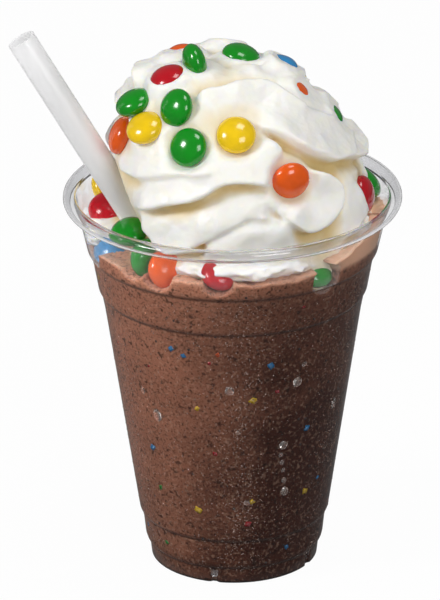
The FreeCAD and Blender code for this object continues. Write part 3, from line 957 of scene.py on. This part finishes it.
def near_line(points, stations, reach):
    """For the points near a line: which, way left of it, taper towards its ends."""
    line, along, left, run = line_frame(stations)
    low, high = line.min(0) - reach, line.max(0) + reach
    which = np.nonzero(np.all((points > low) & (points < high), axis=1))[0]
    apart = points[which][:, None, :] - line[None, :, :]
    nearest = np.argmin((apart**2).sum(-1), axis=1)
    apart = apart[np.arange(len(which)), nearest]
    aside = (apart * left[nearest]).sum(-1)
    past = (apart * along[nearest]).sum(-1)
    ends = np.minimum(run[nearest], run[-1] - run[nearest])
    taper = soft_step(*FADE_ALONG, ends)
    at_end = (nearest == 0) | (nearest == len(line) - 1)
    taper = taper * np.where(at_end, np.exp(-((past / FADE_PAST_END) ** 2)), 1.0)
    return which, aside, taper, left[nearest]


def folds_with_back():
    """The folds in front and the swirl's turns round the back."""
    made = list(FOLDS)
    for number, (start, climb) in enumerate(BACK_TURNS):
        line = []
        for station, azimuth in enumerate(BACK_STATIONS):
            share = station / (len(BACK_STATIONS) - 1)
            wave = 2.2 * math.sin(2.3 * station + 1.7 * number)
            line.append((azimuth, start + climb * share + wave))
        made.append((3.0, 6.5, 1.5, tuple(line)))
    return made


def fold_cream(points):
    """Raises lips with a hollow under each, cuts valleys, and lets the lips droop."""
    normal = mound_normal(points)
    proud = np.zeros(len(points))
    slide = np.zeros_like(points)
    for height, reach, droop, stations in folds_with_back():
        which, aside, taper, left = near_line(points, stations, 4 * reach * MM)
        aside = aside / MM
        above = np.exp(-(np.clip(aside, 0, None) / reach) ** 1.5)
        below = np.exp(-(np.clip(-aside, 0, None) / LIP_EDGE) ** 2)
        lip = np.where(aside > 0, above, below)
        hollow = HOLLOW_SHARE * np.exp(-(((aside + HOLLOW_MIDDLE) / HOLLOW_WIDTH) ** 2))
        proud[which] += FOLD_SHARE * height * MM * (lip - hollow) * taper
        sag = droop * MM * np.exp(-(((aside - DROOP_MIDDLE) / DROOP_WIDTH) ** 2)) * taper
        slide[which] -= left * sag[:, None]
    for depth, width, stations in VALLEYS:
        which, aside, taper, _left = near_line(points, stations, 4 * width * MM)
        proud[which] -= depth * MM * np.exp(-((aside / (width * MM)) ** 2)) * taper
    return points + normal * proud[:, None] + slide


def cream_candies():
    """The lentils that lie in the mound's surface: middle, and the cream's rise round it."""
    made = []
    for name, middle in candy_middles():
        if middle[2] > CREAM_CANDY_FOOT and abs(proud_of_mound(middle)) < CREAM_CANDY_REACH:
            made.append((middle, DEEP_CANDIES.get(name, CANDY_STANDS_OUT) * MM))
    return made


def seat_candies(points):
    """Lets the cream lie round the middle of each lentil."""
    for middle, level in cream_candies():
        normal = mound_normal(middle)
        apart = points - middle
        rise = apart @ normal
        aside = np.linalg.norm(apart - rise[:, None] * normal, axis=1)
        near = 1 - soft_step(*SEAT_EDGE, aside)
        near *= 1 - soft_step(*SEAT_HEIGHT, np.abs(rise))
        points = points + normal * ((level - rise) * near)[:, None]
    return points


def clear_of_straw(points):
    """Keeps the cream's left side on the right of the straw."""
    straw = bpy.context.scene.milkshake_straw
    top = np.array(straw.top)
    room = (straw.radius + 0.5 * MM) / math.cos(straw.tilt)
    edge = top[0] + (top[2] - points[:, 2]) * math.tan(straw.tilt) + room
    in_front = 1 - soft_step(4 * MM, 14 * MM, points[:, 1])
    high = soft_step(100 * MM, 108 * MM, points[:, 2])
    short = np.clip(edge - points[:, 0], 0, None)
    points[:, 0] += short * in_front * high
    return points


def mound_mesh():
    """The folded mound as a closed mesh."""
    rows, columns, samples = 190, 460, 2000
    fine = np.linspace(0, 90, samples)
    section = mound_point(0 * fine, fine)
    run = way_along(section)
    elevation = np.interp(np.linspace(0, run[-1], rows + 1), run, fine)
    azimuth = np.linspace(-180, 180, columns, endpoint=False)
    foot = mound_point(azimuth, np.zeros(columns))
    rings = [foot * (0, 0, 1)] + [mound_point(azimuth, np.full(columns, e)) for e in elevation]
    rings = np.array(rings)
    rings[0][:, 0] = bpy.context.scene.milkshake_cream.offset
    body = rings[1:-1].reshape(-1, 3)
    swell = np.array([noise.fractal(Vector(p) / SWELL_SIZE, 0.7, 2.0, 3) for p in body])
    folded = fold_cream(body) + mound_normal(body) * (swell * SWELL_HEIGHT)[:, None]
    folded = clear_of_straw(seat_candies(folded))
    rings[1:-1] = folded.reshape(rings[1:-1].shape)
    return wrapped_piece("cream_swirl", rings)


def add_lobe(middle, halves):
    """A soft uneven lobe beside the mound."""
    deselect()
    bpy.ops.mesh.primitive_uv_sphere_add(segments=40, ring_count=24, radius=1.0)
    lobe = bpy.context.active_object
    points = mesh_points(lobe)
    lumps = np.array([noise.fractal(Vector(p) * 2.4 + Vector(middle), 0.8, 2.0, 3) for p in points])
    points = points * (1 + 0.3 * lumps)[:, None] * np.array(halves) * MM + np.array(middle) * MM
    move_points(lobe, points)
    return lobe


def keep_in_cup(points):
    """Holds points inside the cup's wall, reaching just into it."""
    cup = bpy.context.scene.milkshake_cup
    radius = np.hypot(points[:, 0], points[:, 1])
    room = wall_radius(points[:, 2]) - cup.wall + 0.1 * MM
    room = np.where(points[:, 2] > CUP_HIGH.z + MM, 1.0, room)
    factor = np.minimum(1, room / np.maximum(radius, MM))
    points[:, :2] *= factor[:, None]
    return points


class MILKSHAKE_OT_cream(bpy.types.Operator):
    """Models the swirl of whipped cream with its lips, valleys and soft lobes"""

    bl_idname = "milkshake.cream"
    bl_label = "Whipped Cream"

    def execute(self, context):
        cream = context.scene.milkshake_cream
        piece = mound_mesh()
        lobes = [add_lobe(*lobe) for lobe in LOBES]
        activate(piece)
        for lobe in lobes:
            lobe.select_set(True)
        bpy.ops.object.join()
        apply_modifier(piece, "REMESH", mode="VOXEL", voxel_size=cream.grain)
        apply_modifier(piece, "SMOOTH", factor=0.5, iterations=3)
        points = keep_in_cup(mesh_points(piece))
        normals = np.empty(len(points) * 3)
        piece.data.vertices.foreach_get("normal", normals)
        fine = np.array([noise.fractal(Vector(p) / RELIEF_SIZE, 0.8, 2.2, 3) for p in points])
        points = points + normals.reshape(-1, 3) * (fine * RELIEF_HEIGHT)[:, None]
        move_points(piece, points)
        # How deep each point lies between the folds, for the painted shade there.
        depth = soft_step(*FOLD_DEPTHS, proud_of_mound(points))
        fold = piece.data.attributes.new("fold", "FLOAT", "POINT")
        fold.data.foreach_set("value", depth.astype(np.float32))
        shade_smooth(piece)
        seat(piece, ["whipped_cream"], cream_finish(cream))
        return {"FINISHED"}


# ---------------------------------------------------------------- straw
class MILKSHAKE_OT_straw(bpy.types.Operator):
    """Makes the wide milky straw with its cut ends softened"""

    bl_idname = "milkshake.straw"
    bl_label = "Straw"

    def execute(self, context):
        straw = context.scene.milkshake_straw
        top = Vector(straw.top)
        low_height = STRAW_LOW.z + straw.radius * math.sin(straw.tilt)
        length = (top.z - low_height) / math.cos(straw.tilt)
        along = Vector((math.sin(straw.tilt), 0, -math.cos(straw.tilt)))
        middle = top + along * (length / 2)
        deselect()
        bpy.ops.mesh.primitive_cylinder_add(
            vertices=72,
            radius=straw.radius,
            depth=length,
            end_fill_type="NOTHING",
            location=middle,
            rotation=(0, -straw.tilt, 0),
        )
        piece = context.active_object
        piece.name = "milky_straw"
        settle(piece)
        apply_modifier(piece, "SOLIDIFY", thickness=straw.wall, offset=-1)
        apply_modifier(piece, "BEVEL", width=0.1 * MM, segments=2, limit_method="ANGLE")
        activate(piece)
        bpy.ops.object.shade_smooth_by_angle(angle=math.radians(50))
        seat(piece, ["straw"], straw_finish(straw.colour))
        return {"FINISHED"}


# ---------------------------------------------------------------- lentils
class MILKSHAKE_OT_candies(bpy.types.Operator):
    """Gives every lentil its glossy sugar shell"""

    bl_idname = "milkshake.candies"
    bl_label = "Sugar-Coated Lentils"

    def execute(self, context):
        colours = context.scene.milkshake_candies
        shells = {}
        for name in ("green", "yellow", "orange", "red", "blue"):
            shells[name] = shell_finish("shell_" + name, getattr(colours, name))
        for name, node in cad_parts.items():
            if name.startswith("candy_"):
                for slot in node.material_slots:
                    slot.material = shells[name.split("_")[1]]
        return {"FINISHED"}


# ---------------------------------------------------------------- crumbs, specks and water
def wall_frame(azimuth, height, inset):
    """A place on the wall: origin, then the ways right, up and out as a matrix."""
    turn = math.radians(azimuth)
    slope = float(wall_radius(height + MM) - wall_radius(height - MM)) / (2 * MM)
    radius = float(wall_radius(height)) - inset
    out = Vector((math.cos(turn), math.sin(turn), -slope)).normalized()
    right = Vector((-math.sin(turn), math.cos(turn), 0))
    up = out.cross(right)
    place = Matrix((right, up, out)).transposed().to_4x4()
    place.translation = Vector((radius * math.cos(turn), radius * math.sin(turn), height))
    return place


def joined_copies(name, model, places):
    """One piece from copies of a small model (points, faces), one at each place."""
    points, faces = [], []
    for place, halves, twist in places:
        start = len(points)
        turn = Matrix.Rotation(twist, 4, "Z")
        stretch = Matrix.Diagonal((*halves, 1.0))
        whole = place @ turn @ stretch
        points.extend(tuple(whole @ Vector(p)) for p in model[0])
        faces.extend(tuple(start + i for i in face) for face in model[1])
    return new_piece(name, points, faces)


def dome_model(sides, rings):
    """A closed drop of unit size: a dome on a flat base."""
    points, faces = [], []
    for ring in range(rings):
        tilt = math.pi / 2 * ring / rings
        for side in range(sides):
            turn = FULL_TURN * side / sides
            flat = math.cos(tilt)
            points.append((flat * math.cos(turn), flat * math.sin(turn), math.sin(tilt)))
    points.append((0, 0, 1))
    faces.append(tuple(reversed(range(sides))))
    for ring in range(rings - 1):
        for side in range(sides):
            a, b = ring * sides + side, ring * sides + (side + 1) % sides
            faces.append((a, b, b + sides, a + sides))
    top = (rings - 1) * sides
    for side in range(sides):
        faces.append((top + side, top + (side + 1) % sides, len(points) - 1))
    return points, faces


def chunk_model(subdivisions, rough, seed):
    """An uneven chunk of unit size."""
    mesh = bmesh.new()
    bmesh.ops.create_icosphere(mesh, subdivisions=subdivisions, radius=1.0)
    draw = random.Random(seed)
    points = [tuple(v.co * (1 + rough * draw.uniform(-1, 1))) for v in mesh.verts]
    faces = [tuple(v.index for v in face.verts) for face in mesh.faces]
    mesh.free()
    return points, faces


class MILKSHAKE_OT_crumbs(bpy.types.Operator):
    """Scatters crumbs of sugar shell and cocoa specks at the wall"""

    bl_idname = "milkshake.crumbs"
    bl_label = "Crumbs and Specks"

    def execute(self, context):
        inset = context.scene.milkshake_cup.wall - context.scene.milkshake_shake.wall_reach
        colours = context.scene.milkshake_candies
        draw = random.Random(31)
        crumbs = list(SHELL_CRUMBS)
        names = ("red", "blue", "yellow", "orange", "green")
        for number in range(CRUMBS_ROUND_BACK):
            azimuth = draw.uniform(-15, 200)
            height = draw.uniform(9, 92)
            crumbs.append((names[number % len(names)], azimuth, height, draw.uniform(0.5, 1.3)))
        for colour in names:
            places = []
            for crumb, azimuth, height, size in crumbs:
                if crumb == colour:
                    wide = size * draw.uniform(0.7, 1.1) * MM
                    tall = size * draw.uniform(0.6, 1.0) * MM
                    place = wall_frame(azimuth, height * MM, inset)
                    places.append((place, (wide, tall, 0.26 * MM), draw.uniform(0, FULL_TURN)))
            piece = joined_copies("crumbs_" + colour, chunk_model(2, 0.3, 5), places)
            shade_smooth(piece)
            faded = tuple(value * CRUMB_COLOUR + 0.01 for value in getattr(colours, colour))
            seat(piece, [], shell_finish("crumb_" + colour, faded))
        places = []
        for _number in range(COCOA_SPECKS):
            size = 0.12 + 0.5 * draw.random() ** 4
            halves = (size * MM, size * draw.uniform(0.6, 1.2) * MM, 0.2 * MM)
            place = wall_frame(draw.uniform(-180, 180), draw.uniform(5, 100) * MM, inset)
            places.append((place, halves, draw.uniform(0, FULL_TURN)))
        piece = joined_copies("cocoa_specks", chunk_model(1, 0.25, 9), places)
        seat(piece, [], speck_finish())
        return {"FINISHED"}


def mist_azimuth(draw):
    """An azimuth for one droplet: thick in the bands, thin elsewhere."""
    pick = draw.random()
    for middle, width, share in MIST_BANDS:
        if pick < share:
            return draw.gauss(middle, width / 2)
        pick -= share
    return draw.uniform(-180, 180)


class MILKSHAKE_OT_water(bpy.types.Operator):
    """Covers the cold cup with mist and a few larger beads of water"""

    bl_idname = "milkshake.water"
    bl_label = "Mist and Beads"

    def execute(self, context):
        water = context.scene.milkshake_water
        draw = random.Random(water.seed)
        sunk = 0.02 * MM
        places = []
        for _number in range(water.droplets):
            height = draw.uniform(4, 96) * MM
            size = water.smallest + (water.largest - water.smallest) * draw.random() ** 2.5
            halves = (size, size * draw.uniform(0.9, 1.4), size * 0.55)
            places.append((wall_frame(mist_azimuth(draw), height, sunk), halves, 0.0))
        piece = joined_copies("mist_droplets", dome_model(5, 2), places)
        shade_smooth(piece)
        # The mist's pale colour is partly painted highlight, standing for the sparkle of the lamps in the
        # droplets.
        seat(piece, [], water_finish("mist", (0.62, 0.48, 0.42), 0.8))
        places = []
        for azimuth, height, wide, tall in WATER_BEADS:
            place = wall_frame(azimuth, height * MM, sunk)
            places.append((place, (wide * MM, tall * MM, 0.5 * wide * MM), 0.0))
        piece = joined_copies("water_beads", dome_model(24, 8), places)
        shade_smooth(piece)
        seat(piece, [], water_finish("water", (0.97, 0.9, 0.86), 0.97))
        return {"FINISHED"}


# ---------------------------------------------------------------- stage
def seen_directly(tree, mirrored):
    """1 for rays that show the background, from the camera or through glass; less for reflections."""
    path = add_node(tree, "ShaderNodeLightPath")
    value = maths(tree, "MAXIMUM", path.outputs["Is Camera Ray"], path.outputs["Is Transmission Ray"])
    value = maths(tree, "MAXIMUM", value, maths(tree, "MULTIPLY", path.outputs["Is Glossy Ray"], mirrored))
    unscattered = maths(tree, "LESS_THAN", path.outputs["Diffuse Depth"], 0.5)
    return maths(tree, "MULTIPLY", value, unscattered)


def add_lamp(name, place, aim, size, power):
    """A soft square lamp at a place, turned to an aim."""
    lamp = bpy.data.lights.new(name, "AREA")
    lamp.size = size
    lamp.energy = power
    holder = bpy.data.objects.new(name, lamp)
    holder.location = place
    holder.rotation_euler = (Vector(aim) - Vector(place)).to_track_quat("-Z", "Y").to_euler()
    bpy.context.scene.collection.objects.link(holder)


class MILKSHAKE_OT_stage(bpy.types.Operator):
    """Sets up the floor, the soft lamps, the pale surroundings and the camera"""

    bl_idname = "milkshake.stage"
    bl_label = "Stage"

    def execute(self, context):
        stage = context.scene.milkshake_stage
        self.lay_floor(stage)
        self.light_room(stage)
        self.place_camera(stage)
        return {"FINISHED"}

    def lay_floor(self, stage):
        """A plain pale floor that keeps the object's soft shadow."""
        deselect()
        just_below = (0, 0, -0.05 * MM)
        bpy.ops.mesh.primitive_circle_add(vertices=96, radius=4.0, fill_type="NGON", location=just_below)
        floor = bpy.context.active_object
        floor.name = "pale_floor"
        settle(floor)
        material, tree, shader = new_material("pale_floor")
        path = add_node(tree, "ShaderNodeLightPath")
        mirrored = path.outputs["Is Glossy Ray"]
        grey = blend_colour(tree, mirrored, (0.84, 0.84, 0.84), (0.12, 0.12, 0.12))
        tree.links.new(grey, shader.inputs["Base Color"])
        shader.inputs["Roughness"].default_value = 0.9
        glow = add_node(tree, "ShaderNodeEmission")
        mix = add_node(tree, "ShaderNodeMixShader")
        output = next(node for node in tree.nodes if node.type == "OUTPUT_MATERIAL")
        tree.links.new(maths(tree, "MULTIPLY", seen_directly(tree, 0.05), 0.97), mix.inputs["Fac"])
        tree.links.new(shader.outputs[0], mix.inputs[1])
        tree.links.new(glow.outputs[0], mix.inputs[2])
        tree.links.new(mix.outputs[0], output.inputs["Surface"])
        floor.data.materials.append(material)

    def light_room(self, stage):
        """Pale surroundings and three soft lamps."""
        world = bpy.data.worlds.new("pale_room")
        bpy.context.scene.world = world
        world.use_nodes = True
        tree = world.node_tree
        background = tree.nodes["Background"]
        background.inputs["Color"].default_value = (1.0, 1.0, 1.0, 1.0)
        way = add_node(tree, "ShaderNodeTexCoord")
        split = add_node(tree, "ShaderNodeSeparateXYZ")
        tree.links.new(way.outputs["Generated"], split.inputs[0])
        walls = ramp(tree, split.outputs["Z"], -0.05, 0.35, 1.0, 0.08)
        path = add_node(tree, "ShaderNodeLightPath")
        shown = maths(tree, "MAXIMUM", walls, path.outputs["Is Camera Ray"])
        direct = maths(tree, "MULTIPLY", seen_directly(tree, 0.3), shown)
        strength = maths(tree, "MAXIMUM", direct, stage.ambient)
        tree.links.new(strength, background.inputs["Strength"])
        aim = (0, 0, 0.09)
        add_lamp("key_lamp", (-1.2, -0.6, 1.0), aim, 0.4, 12.5)
        add_lamp("fill_lamp", (0.6, -1.2, 0.8), aim, 0.6, 7.0)
        add_lamp("top_lamp", (0.3, -0.1, 1.4), aim, 0.5, 5.0)
        bpy.context.scene.view_settings.view_transform = "Standard"

    def place_camera(self, stage):
        """The camera stands in front and looks down on the cup."""
        camera = bpy.data.cameras.new("camera")
        camera.lens = stage.lens
        camera.sensor_width = 36.0
        camera.clip_start = 0.05
        camera.clip_end = 50.0
        holder = bpy.data.objects.new("camera", camera)
        level = Matrix.Rotation(math.pi / 2 - stage.pitch, 4, "X")
        place = Matrix.Translation((stage.aside, -stage.distance, stage.height))
        holder.matrix_world = place @ level @ Matrix.Rotation(stage.roll, 4, "Z")
        bpy.context.scene.collection.objects.link(holder)
        bpy.context.scene.camera = holder


# ---------------------------------------------------------------- add-on
class MILKSHAKE_PT_panel(bpy.types.Panel):
    """Lists the pieces of the milkshake"""

    bl_label = "Milkshake"
    bl_idname = "MILKSHAKE_PT_panel"
    bl_space_type = "VIEW_3D"
    bl_region_type = "UI"
    bl_category = "Milkshake"

    def draw(self, context):
        for operator in OPERATORS:
            self.layout.operator(operator.bl_idname)
        for name in SETTINGS:
            settings = getattr(context.scene, name)
            box = self.layout.box()
            for key in settings.bl_rna.properties.keys():
                if key not in ("rna_type", "name"):
                    box.prop(settings, key)


SETTINGS = {
    "milkshake_cup": CupSettings,
    "milkshake_shake": ShakeSettings,
    "milkshake_cream": CreamSettings,
    "milkshake_straw": StrawSettings,
    "milkshake_candies": CandySettings,
    "milkshake_water": WaterSettings,
    "milkshake_stage": StageSettings,
}
OPERATORS = (
    MILKSHAKE_OT_cup,
    MILKSHAKE_OT_shake,
    MILKSHAKE_OT_cream,
    MILKSHAKE_OT_straw,
    MILKSHAKE_OT_candies,
    MILKSHAKE_OT_crumbs,
    MILKSHAKE_OT_water,
    MILKSHAKE_OT_stage,
)


def register():
    """Registers the settings, the operators and the panel."""
    for name, settings in SETTINGS.items():
        bpy.utils.register_class(settings)
        setattr(bpy.types.Scene, name, PointerProperty(type=settings))
    for kind in (*OPERATORS, MILKSHAKE_PT_panel):
        bpy.utils.register_class(kind)


def unregister():
    """Takes them all away again."""
    for kind in (MILKSHAKE_PT_panel, *reversed(OPERATORS)):
        bpy.utils.unregister_class(kind)
    for name, settings in reversed(SETTINGS.items()):
        delattr(bpy.types.Scene, name)
        bpy.utils.unregister_class(settings)


def main():
    """Builds the milkshake piece by piece."""
    register()
    bpy.ops.milkshake.cup()
    bpy.ops.milkshake.shake()
    bpy.ops.milkshake.cream()
    bpy.ops.milkshake.straw()
    bpy.ops.milkshake.candies()
    bpy.ops.milkshake.crumbs()
    bpy.ops.milkshake.water()
    bpy.ops.milkshake.stage()


if __name__ == "__main__":
    main()
